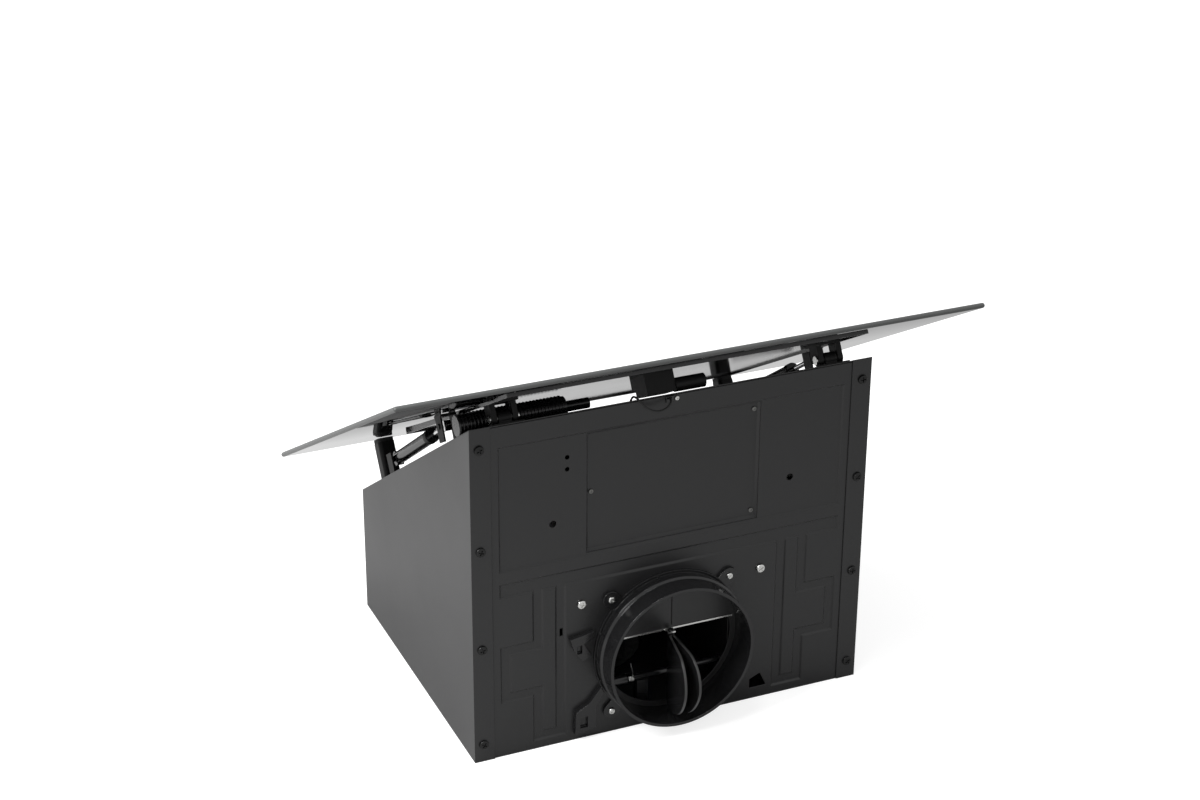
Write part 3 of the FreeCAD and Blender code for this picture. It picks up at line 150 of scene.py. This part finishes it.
grain_group.links.new(grain_place.outputs["Object"], grain_fine.inputs["Vector"])
grain_group.links.new(grain_in.outputs["Scale"], grain_fine.inputs["Scale"])
grain_group.links.new(grain_place.outputs["Object"], grain_cloud.inputs["Vector"])
grain_group.links.new(grain_cloud.outputs["Fac"], grain_shift.inputs[0])
grain_group.links.new(grain_shift.outputs[0], grain_spread.inputs[0])
grain_group.links.new(grain_in.outputs["Spread"], grain_spread.inputs[1])
grain_group.links.new(grain_in.outputs["Roughness"], grain_spread.inputs[2])
grain_group.links.new(grain_fine.outputs["Fac"], grain_out.inputs["Height"])
grain_group.links.new(grain_spread.outputs[0], grain_out.inputs["Roughness"])
grain_group.links.new(grain_cloud.outputs["Fac"], grain_out.inputs["Cloud"])


def finish_of(name, dark, light, roughness, metallic=0.0, scale=900.0, spread=0.1, depth=0.00002, bump=0.2):
    """A Principled material whose colour, gloss and surface are broken by the shared grain."""
    made = bpy.data.materials.new(name)
    made.use_nodes = True
    tree = made.node_tree
    shader = tree.nodes["Principled BSDF"]
    shader.inputs["Metallic"].default_value = metallic
    grain = tree.nodes.new("ShaderNodeGroup")
    grain.node_tree = grain_group
    grain.inputs["Scale"].default_value = scale
    grain.inputs["Roughness"].default_value = roughness
    grain.inputs["Spread"].default_value = spread
    shade = tree.nodes.new("ShaderNodeMix")
    shade.data_type = "RGBA"
    shade.inputs["A"].default_value = (*dark, 1.0)
    shade.inputs["B"].default_value = (*light, 1.0)
    relief = tree.nodes.new("ShaderNodeBump")
    relief.inputs["Distance"].default_value = depth
    relief.inputs["Strength"].default_value = bump
    tree.links.new(grain.outputs["Cloud"], shade.inputs["Factor"])
    tree.links.new(shade.outputs["Result"], shader.inputs["Base Color"])
    tree.links.new(grain.outputs["Height"], relief.inputs["Height"])
    tree.links.new(relief.outputs["Normal"], shader.inputs["Normal"])
    tree.links.new(grain.outputs["Roughness"], shader.inputs["Roughness"])
    return made


def soften(material, radius):
    """Round the shading of a material's corners, as pressing and moulding do."""
    tree = material.node_tree
    corner = tree.nodes.new("ShaderNodeBevel")
    corner.samples = 6
    corner.inputs["Radius"].default_value = radius
    tree.links.new(corner.outputs["Normal"], tree.nodes["Bump"].inputs["Normal"])


def dress(material, *names):
    """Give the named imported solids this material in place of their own."""
    for name in names:
        nodes[name].data.materials.clear()
        nodes[name].data.materials.append(material)


black_coat = finish_of("black_powder_coat", (0.0105, 0.0105, 0.011), (0.013, 0.013, 0.0135), 0.34)
soften(black_coat, 0.0013)
dress(black_coat, "outlet_panel", "side_panel_left", "side_panel_right", "lower_panel", "intake_frame",
      "cover_plate", "blower_base", "blower_housing", "blower_cover")

# Wall panel and motor spider: galvanised sheet left bare, with the dull spangle of hot-dipped zinc, riveted
# to the coated panels. Its colour is kept very dark as painted shade for the inside of the casing seen
# through its openings.
zinc_darkened_as_shade = finish_of("galvanised_sheet_painted_shade", (0.06, 0.06, 0.063), (0.12, 0.12, 0.125), 0.5, 1.0, 160.0, 0.2)
zinc_tree = zinc_darkened_as_shade.node_tree
spangle_place = zinc_tree.nodes.new("ShaderNodeTexCoord")
spangle = zinc_tree.nodes.new("ShaderNodeTexVoronoi")
spangle.inputs["Scale"].default_value = 90.0
zinc_tree.links.new(spangle_place.outputs["Object"], spangle.inputs["Vector"])
zinc_tree.links.new(spangle.outputs["Color"], zinc_tree.nodes["Mix"].inputs["Factor"])
dress(zinc_darkened_as_shade, "wall_panel", "motor_bracket")

# Casing screws: blackened pan heads with a cross recess, four down each side flange. Each is
# turned a little differently, as screws end up when they are driven home.


def settle(piece, name, body, material):
    """Name a piece, put its place into its mesh, give it its finish and let it ride."""
    bpy.ops.object.select_all(action="DESELECT")
    piece.select_set(True)
    bpy.context.view_layer.objects.active = piece
    bpy.ops.object.transform_apply(location=True, rotation=True, scale=True)
    piece.name = name
    piece.data.materials.clear()
    piece.data.materials.append(material)
    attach(piece, body)
    piece.select_set(False)
    return piece


def pan_screw(radius, height):
    """One screw head at the origin, standing out along -Y, with its seat at y = 0."""
    bpy.ops.mesh.primitive_cylinder_add(vertices=32, radius=radius, depth=height,
                                        location=(0.0, -height / 2, 0.0), rotation=(math.pi / 2, 0.0, 0.0))
    head = bpy.context.object
    bpy.ops.object.transform_apply(location=True, rotation=True, scale=True)
    crown = head.modifiers.new("crown", "BEVEL")
    crown.width = height * 0.55
    crown.segments = 4
    crown.limit_method = "ANGLE"
    bpy.ops.object.modifier_apply(modifier="crown")
    for wide, tall in ((1.15, 0.24), (0.24, 1.15)):
        bpy.ops.mesh.primitive_cube_add(size=1.0, location=(0.0, -height, 0.0),
                                        scale=(radius * wide, height * 1.1, radius * tall))
        blade = bpy.context.object
        bpy.ops.object.transform_apply(location=True, rotation=True, scale=True)
        bpy.context.view_layer.objects.active = head
        recess = head.modifiers.new("recess", "BOOLEAN")
        recess.operation = "DIFFERENCE"
        recess.solver = "EXACT"
        recess.object = blade
        bpy.ops.object.modifier_apply(modifier="recess")
        bpy.data.objects.remove(blade, do_unlink=True)
    head.select_set(True)
    bpy.context.view_layer.objects.active = head
    bpy.ops.object.shade_smooth_by_angle(angle=math.radians(40))
    return head


def row_of(first, places):
    """Copies of one piece, each with its own mesh, joined into one object; the first is used up."""
    copies = []
    for x, y, z, turn in places:
        copy = first.copy()
        copy.data = first.data.copy()
        copy.location = (x, y, z)
        copy.rotation_euler = (0.0, turn, 0.0)
        bpy.context.scene.collection.objects.link(copy)
        copies.append(copy)
    bpy.data.objects.remove(first, do_unlink=True)
    bpy.ops.object.select_all(action="DESELECT")
    for copy in copies:
        copy.select_set(True)
    bpy.context.view_layer.objects.active = copies[0]
    bpy.ops.object.join()
    return bpy.context.object


black_screw = finish_of("blackened_screw", (0.010, 0.010, 0.010), (0.016, 0.016, 0.016), 0.22, 0.5)
flange_x = 0.191
lowest_screw = 0.0185
screw_pitch = 0.102
flange_places = [(side * flange_x, outlet_y, lowest_screw + row * screw_pitch, row * 0.7 + side)
                 for side in (-1, 1) for row in range(4)]
flange_screws = row_of(pan_screw(0.0046, 0.0021), flange_places)
settle(flange_screws, "flange_screws", "casing", black_screw)
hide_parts("casing_screws")

# Bright screws: zinc-plated, through the adaptor's four ears, in the outlet face and beside
# the lead. The three behind the cover plate's edge have a dull passivated coat.
bright_zinc = finish_of("bright_zinc", (0.62, 0.62, 0.61), (0.78, 0.78, 0.76), 0.24, 1.0, 500.0, 0.2)
dull_zinc = finish_of("dull_zinc", (0.16, 0.16, 0.155), (0.24, 0.24, 0.23), 0.38, 1.0, 500.0, 0.2)
dress(bright_zinc, "hinge_pin_left", "hinge_pin_right", "damper_yoke")
spigot_x = -0.0035
spigot_z = 0.086
panel_y = -0.157
cover_y = -0.1521
ear_ring = 0.085
ear_thickness = 0.003
ear_places = []
for ear_angle in (44, 135, 226, 314):
    turn = math.radians(ear_angle)
    ear_places.append((spigot_x + ear_ring * math.cos(turn), panel_y - ear_thickness,
                       spigot_z + ear_ring * math.sin(turn), turn))
ear_screws = row_of(pan_screw(0.0032, 0.0021), ear_places)
face_screws = row_of(pan_screw(0.0044, 0.0027),
                     [(-0.0925, panel_y, 0.1463, 0.4), (0.0915, panel_y, 0.1445, 1.1)])
lead_screw = row_of(pan_screw(0.0022, 0.0016), [(0.0004, panel_y, 0.3401, 0.2)])
for piece, name in ((ear_screws, "ear_screws"), (face_screws, "face_screws"), (lead_screw, "lead_screw")):
    settle(piece, name, "casing", bright_zinc)
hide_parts("collar_screws")
window_screws = row_of(pan_screw(0.0023, 0.0013),
                       [(-0.0815, cover_y, 0.25925, 0.3), (0.0815, cover_y, 0.312, 0.9),
                        (0.0815, cover_y, 0.2065, 0.6)])
settle(window_screws, "window_screws", "casing", dull_zinc)
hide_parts("cover_screws")

# Outlet adaptor: one black moulding with ribs and four screw ears, held by two snap arms. The
# same plastic makes the sleeve and its clip, the latches, the impeller, the pin and the stay.
black_moulding = finish_of("black_moulding", (0.008, 0.008, 0.0085), (0.011, 0.011, 0.0115), 0.17, 0.0,
                           1400.0)
soften(black_moulding, 0.0008)
dress(black_moulding, "outlet_collar", "collar_clips", "harness_sleeve", "cable_clip", "filter_latch_left",
      "filter_latch_right", "impeller_disc", "impeller_blades", "damper_pin", "throat_stay")

# Damper leaves: two half discs of black plastic on one upright pin. Their rim faces get a lighter grey,
# a painted highlight for where the edges catch the light. They stand open here, and the bearing is that of
# a leaf's face.
painted_rim_highlight_grey = finish_of("painted_rim_highlight_grey", (0.02, 0.02, 0.02), (0.035, 0.035, 0.035), 0.35)
pin_y = -0.162
pin_reach = 0.006
for side, bearing in (("left", 170.0), ("right", 180.0)):
    leaf = nodes["damper_flap_" + side].copy()
    leaf.data = nodes["damper_flap_" + side].data.copy()
    bpy.context.scene.collection.objects.link(leaf)
    bpy.ops.object.select_all(action="DESELECT")
    leaf.select_set(True)
    bpy.context.view_layer.objects.active = leaf
    bpy.ops.object.mode_set(mode="EDIT")
    bpy.ops.mesh.select_all(action="SELECT")
    bpy.ops.mesh.remove_doubles(threshold=0.000005)
    bpy.ops.object.mode_set(mode="OBJECT")
    rounding = leaf.modifiers.new("rounding", "BEVEL")
    rounding.width = 0.0003
    rounding.segments = 2
    rounding.limit_method = "ANGLE"
    bpy.ops.object.modifier_apply(modifier="rounding")
    settle(leaf, "damper_leaf_" + side, "damper_" + side, black_moulding)
    leaf.data.materials.append(painted_rim_highlight_grey)
    # Rim faces, turned across the leaf's face and clear of the pin, take the painted highlight grey.
    facing = Vector((math.cos(math.radians(bearing)), math.sin(math.radians(bearing)), 0.0))
    for face in leaf.data.polygons:
        away = math.hypot(face.center.x - spigot_x, face.center.y - pin_y)
        if abs(face.normal.dot(facing)) < 0.5 and away > pin_reach:
            face.material_index = 1
    bpy.ops.object.select_all(action="DESELECT")
    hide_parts("damper_flap_" + side)

# Stay spring: a few turns of zinc-plated wire on the stay behind the port, with one straight leg.
coil_start = Vector((-0.0406, -0.145, 0.046))
coil_radius = 0.0041
coil_length = 0.0066
coil_turns = 4.5
coil_steps = 110
wire = 0.0007
wire_points = 10
leg_middle = coil_start + Vector((0.0037, -0.0048, 0.0105))
leg_way = Vector((-0.005, -0.0024, 0.019))
bpy.ops.mesh.primitive_circle_add(vertices=wire_points, radius=wire, fill_type="NOTHING",
                                  location=coil_start + Vector((0.0, 0.0, coil_radius)),
                                  rotation=(math.pi / 2, 0.0, 0.0))
coil = bpy.context.object
bpy.ops.object.transform_apply(location=True, rotation=True, scale=True)
bpy.ops.object.mode_set(mode="EDIT")
bpy.ops.mesh.select_all(action="SELECT")
bpy.ops.mesh.spin(steps=coil_steps, angle=math.radians(360 * coil_turns), center=coil_start,
                  axis=(1.0, 0.0, 0.0))
bpy.ops.mesh.select_all(action="SELECT")
bpy.ops.mesh.normals_make_consistent(inside=False)
bpy.ops.object.mode_set(mode="OBJECT")
for vertex in coil.data.vertices:
    vertex.co.x += coil_length * (vertex.index // wire_points) / coil_steps
bpy.ops.mesh.primitive_cylinder_add(vertices=12, radius=wire, depth=0.0205, location=leg_middle,
                                    rotation=leg_way.to_track_quat("Z", "Y").to_euler())
coil.select_set(True)
bpy.context.view_layer.objects.active = coil
bpy.ops.object.join()
bpy.ops.object.shade_smooth_by_angle(angle=math.radians(50))
settle(coil, "stay_spring", "casing", bright_zinc)
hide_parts("throat_spring")

# Harness sleeve: corrugated black conduit lying along the casing's upper left edge. Its ribs
# are moulded rings at an even pitch.
slope_drop = 0.211
slope_run = 0.316
slope = math.atan2(slope_drop, slope_run)


def on_slope(x, down, off):
    """A place given along the sloping face: across, down the slope, and standing off it."""
    return Vector((x, outlet_y + down * math.cos(slope) + off * math.sin(slope),
                   front_z - down * math.sin(slope) + off * math.cos(slope)))


rib_pitch = 0.0034
rib_count = 30
bpy.ops.mesh.primitive_torus_add(major_radius=0.0101, minor_radius=0.0011, major_segments=40,
                                 minor_segments=8, location=(0.0, 0.0, 0.0),
                                 rotation=(0.0, math.pi / 2, 0.0))
ribs = bpy.context.object
bpy.ops.object.transform_apply(location=True, rotation=True, scale=True)
run = ribs.modifiers.new("run", "ARRAY")
run.use_relative_offset = False
run.use_constant_offset = True
run.constant_offset_displace = (rib_pitch, 0.0, 0.0)
run.count = rib_count
bpy.ops.object.modifier_apply(modifier="run")
ribs.location = on_slope(-0.1945, 0.046, 0.0102)
settle(ribs, "sleeve_ribs", "casing", black_moulding)
for face in ribs.data.polygons:
    face.use_smooth = True

# Hinges, strut feet and rest posts: stamped and moulded parts in a matte black coat, made darker and less
# glossy than the casing as painted shade for where they sit under the glass. The tray that is bonded to the
# glass has a gloss coat.
matte_black_painted_shade = finish_of("matte_black_painted_shade", (0.006, 0.006, 0.006), (0.009, 0.009, 0.009), 0.5)
matte_black_painted_shade.node_tree.nodes["Principled BSDF"].inputs["Specular IOR Level"].default_value = 0.22
dress(matte_black_painted_shade, "hinge_base_left", "hinge_base_right", "strut_mount_left", "strut_mount_right",
      "strut_bracket_left", "strut_bracket_right", "hinge_leaf_left", "hinge_leaf_right",
      "rest_post_left", "rest_post_right", "touch_module")
gloss_coat = finish_of("gloss_black_coat", (0.008, 0.008, 0.0085), (0.010, 0.010, 0.0105), 0.12, 0.0,
                       500.0, 0.05)
dress(gloss_coat, "glass_pan")

# Struts: gas springs with a black lacquered tube, a ground and chromed rod, and a ring
# pressed round the tube's end where the rod comes out of it.
strut_x = 0.188
gland_reach = 0.119
gland_wall = 0.0008
for side, body in ((-1, "tube_left"), (1, "tube_right")):
    foot = Vector((side * strut_x, 0.0742933, 0.2077268))
    head = Vector((side * strut_x, -0.0681665, 0.3076601))
    along = (head - foot).normalized()
    bpy.ops.mesh.primitive_cylinder_add(vertices=40, radius=0.0071, depth=0.009, end_fill_type="NOTHING",
                                        location=foot + along * gland_reach,
                                        rotation=along.to_track_quat("Z", "Y").to_euler())
    gland = bpy.context.object
    bpy.ops.object.transform_apply(location=True, rotation=True, scale=True)
    ring = gland.modifiers.new("ring", "SOLIDIFY")
    ring.thickness = gland_wall
    ring.offset = -1.0
    bpy.ops.object.modifier_apply(modifier="ring")
    crimp = gland.modifiers.new("crimp", "BEVEL")
    crimp.width = 0.0003
    crimp.segments = 3
    crimp.limit_method = "ANGLE"
    bpy.ops.object.modifier_apply(modifier="crimp")
    bpy.ops.object.shade_smooth_by_angle(angle=math.radians(35))
    # The gland ring takes the same matte black, darkened as painted shade.
    settle(gland, "gland_" + body, body, matte_black_painted_shade)
dress(gloss_coat, "strut_tube_left", "strut_tube_right")
rod_chrome = finish_of("rod_chrome", (0.76, 0.76, 0.76), (0.84, 0.84, 0.84), 0.08, 1.0, 500.0, 0.05)
dress(rod_chrome, "strut_rod_left", "strut_rod_right")

# Rubber: the caps under the glass, and the sensor lead's jacket.
soft_rubber = finish_of("soft_rubber", (0.010, 0.010, 0.010), (0.016, 0.016, 0.016), 0.7)
dress(soft_rubber, "post_cap_left", "post_cap_right")
sensor_lead.data.materials.append(soft_rubber)

# Motor in a cast alloy can, capacitor and control box in white moulding, green board.
cast_alloy = finish_of("cast_alloy", (0.42, 0.42, 0.43), (0.56, 0.56, 0.57), 0.5, 1.0, 700.0)
dress(cast_alloy, "motor_body")
white_moulding = finish_of("white_moulding", (0.66, 0.66, 0.63), (0.72, 0.72, 0.69), 0.4)
dress(white_moulding, "capacitor", "control_box")
green_board = finish_of("green_board", (0.015, 0.10, 0.035), (0.025, 0.14, 0.05), 0.35)
dress(green_board, "control_board")

# Grease filters: a rolled aluminium frame round three layers of expanded mesh, whose
# diamonds are slit and stretched from one sheet.
plain_aluminium = finish_of("plain_aluminium", (0.55, 0.56, 0.57), (0.65, 0.66, 0.67), 0.33, 1.0, 600.0,
                            0.15)
dress(plain_aluminium, "filter_frame_left", "filter_frame_right")
filter_x = 0.0955
filter_down = 0.2136
net_width = 0.1575
net_length = 0.2612
diamonds_across = 22
diamonds_down = 56
for side, name in ((-1, "left"), (1, "right")):
    layers = []
    for layer, off in enumerate((-0.002, -0.0045, -0.007)):
        bpy.ops.mesh.primitive_grid_add(x_subdivisions=diamonds_across + layer,
                                        y_subdivisions=diamonds_down, size=1.0,
                                        location=on_slope(side * filter_x, filter_down, off),
                                        rotation=(-slope, 0.0, 0.0))
        net = bpy.context.object
        net.scale = (net_width, net_length, 1.0)
        bpy.ops.object.transform_apply(location=False, rotation=False, scale=True)
        bpy.ops.object.mode_set(mode="EDIT")
        bpy.ops.mesh.select_all(action="SELECT")
        bpy.ops.mesh.poke()
        bpy.ops.mesh.select_all(action="DESELECT")
        bpy.ops.object.mode_set(mode="OBJECT")
        uses = {}
        for face in net.data.polygons:
            for key in face.edge_keys:
                uses[key] = uses.get(key, 0) + 1
        for edge in net.data.edges:
            span = net.data.vertices[edge.vertices[0]].co - net.data.vertices[edge.vertices[1]].co
            straight = min(abs(span.x), abs(span.y)) < 0.0001
            edge.select = straight and uses[edge.key] == 2
        bpy.ops.object.mode_set(mode="EDIT")
        bpy.ops.mesh.select_mode(type="EDGE")
        bpy.ops.mesh.dissolve_edges(use_verts=False, use_face_split=False)
        bpy.ops.mesh.select_mode(type="VERT")
        bpy.ops.object.mode_set(mode="OBJECT")
        bpy.ops.object.transform_apply(location=True, rotation=True, scale=True)
        strands = net.modifiers.new("strands", "WIREFRAME")
        strands.thickness = 0.0008
        strands.use_even_offset = False
        strands.offset = 0.0
        bpy.ops.object.modifier_apply(modifier="strands")
        layers.append(net)
    bpy.ops.object.select_all(action="DESELECT")
    for net in layers:
        net.select_set(True)
    bpy.context.view_layer.objects.active = layers[0]
    bpy.ops.object.join()
    settle(bpy.context.object, "expanded_mesh_" + name, "casing", plain_aluminium)
    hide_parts("filter_mesh_" + name)

# Lamps: turned and brushed steel bezel round a frosted lens.
brushed_steel = finish_of("brushed_steel", (0.5, 0.5, 0.49), (0.6, 0.6, 0.59), 0.3, 1.0)
dress(brushed_steel, "lamp_bezels")
frosted = bpy.data.materials.new("frosted_lens")
frosted.use_nodes = True
frosted_shader = frosted.node_tree.nodes["Principled BSDF"]
frosted_shader.inputs["Base Color"].default_value = (0.85, 0.85, 0.82, 1.0)
frosted_shader.inputs["Roughness"].default_value = 0.35
frosted_shader.inputs["Transmission Weight"].default_value = 0.5
dress(frosted, "lamp_lenses")

# Glass front: 5 mm toughened sheet, printed black over its whole back, with its edges and
# corners ground to a fine grey bevel. It is bonded to the steel tray.
black_glass = bpy.data.materials.new("black_glass")
black_glass.use_nodes = True
glass_shader = black_glass.node_tree.nodes["Principled BSDF"]
glass_shader.inputs["Base Color"].default_value = (0.004, 0.004, 0.0045, 1.0)
glass_shader.inputs["Roughness"].default_value = 0.02
glass_shader.inputs["IOR"].default_value = 1.45
ground_edge = finish_of("ground_glass_edge", (0.05, 0.052, 0.052), (0.075, 0.078, 0.077), 0.35, 0.0, 2500.0)
tilt = math.radians(30.332)
hinge_line = Vector((0.0, -0.1429688, 0.3443804))
glass_width = 0.570
glass_length = 0.419
glass_thickness = 0.005
glass_nose = 0.0895
glass_lift = 0.016
middle = Vector((0.0, glass_length / 2 - glass_nose, glass_lift + glass_thickness / 2))
middle = Matrix.Rotation(-tilt, 4, "X") @ middle + hinge_line
bpy.ops.mesh.primitive_cube_add(size=1.0, location=(0.0, 0.0, 0.0),
                                scale=(glass_width, glass_length, glass_thickness))
glass = bpy.context.object
bpy.ops.object.transform_apply(location=True, rotation=True, scale=True)
bpy.ops.object.mode_set(mode="EDIT")
bpy.ops.mesh.select_all(action="DESELECT")
bpy.ops.object.mode_set(mode="OBJECT")
for edge in glass.data.edges:
    ends = [glass.data.vertices[end].co for end in edge.vertices]
    edge.select = abs(ends[0].z - ends[1].z) > 0.001
bpy.ops.object.mode_set(mode="EDIT")
bpy.ops.mesh.select_mode(type="EDGE")
bpy.ops.mesh.bevel(offset=0.0025, segments=6)
bpy.ops.mesh.select_mode(type="VERT")
bpy.ops.object.mode_set(mode="OBJECT")
arris = glass.modifiers.new("arris", "BEVEL")
arris.width = 0.0008
arris.segments = 2
arris.limit_method = "ANGLE"
arris.angle_limit = math.radians(60)
bpy.ops.object.modifier_apply(modifier="arris")
bpy.ops.object.shade_smooth_by_angle(angle=math.radians(30))
rim_faces = [face.index for face in glass.data.polygons if abs(face.normal.z) < 0.95]
glass.rotation_euler = (-tilt, 0.0, 0.0)
glass.location = middle
settle(glass, "glass_sheet", "glass", black_glass)
glass.data.materials.append(ground_edge)
for index in rim_faces:
    glass.data.polygons[index].material_index = 1
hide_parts("glass_panel")

bpy.context.view_layer.update()
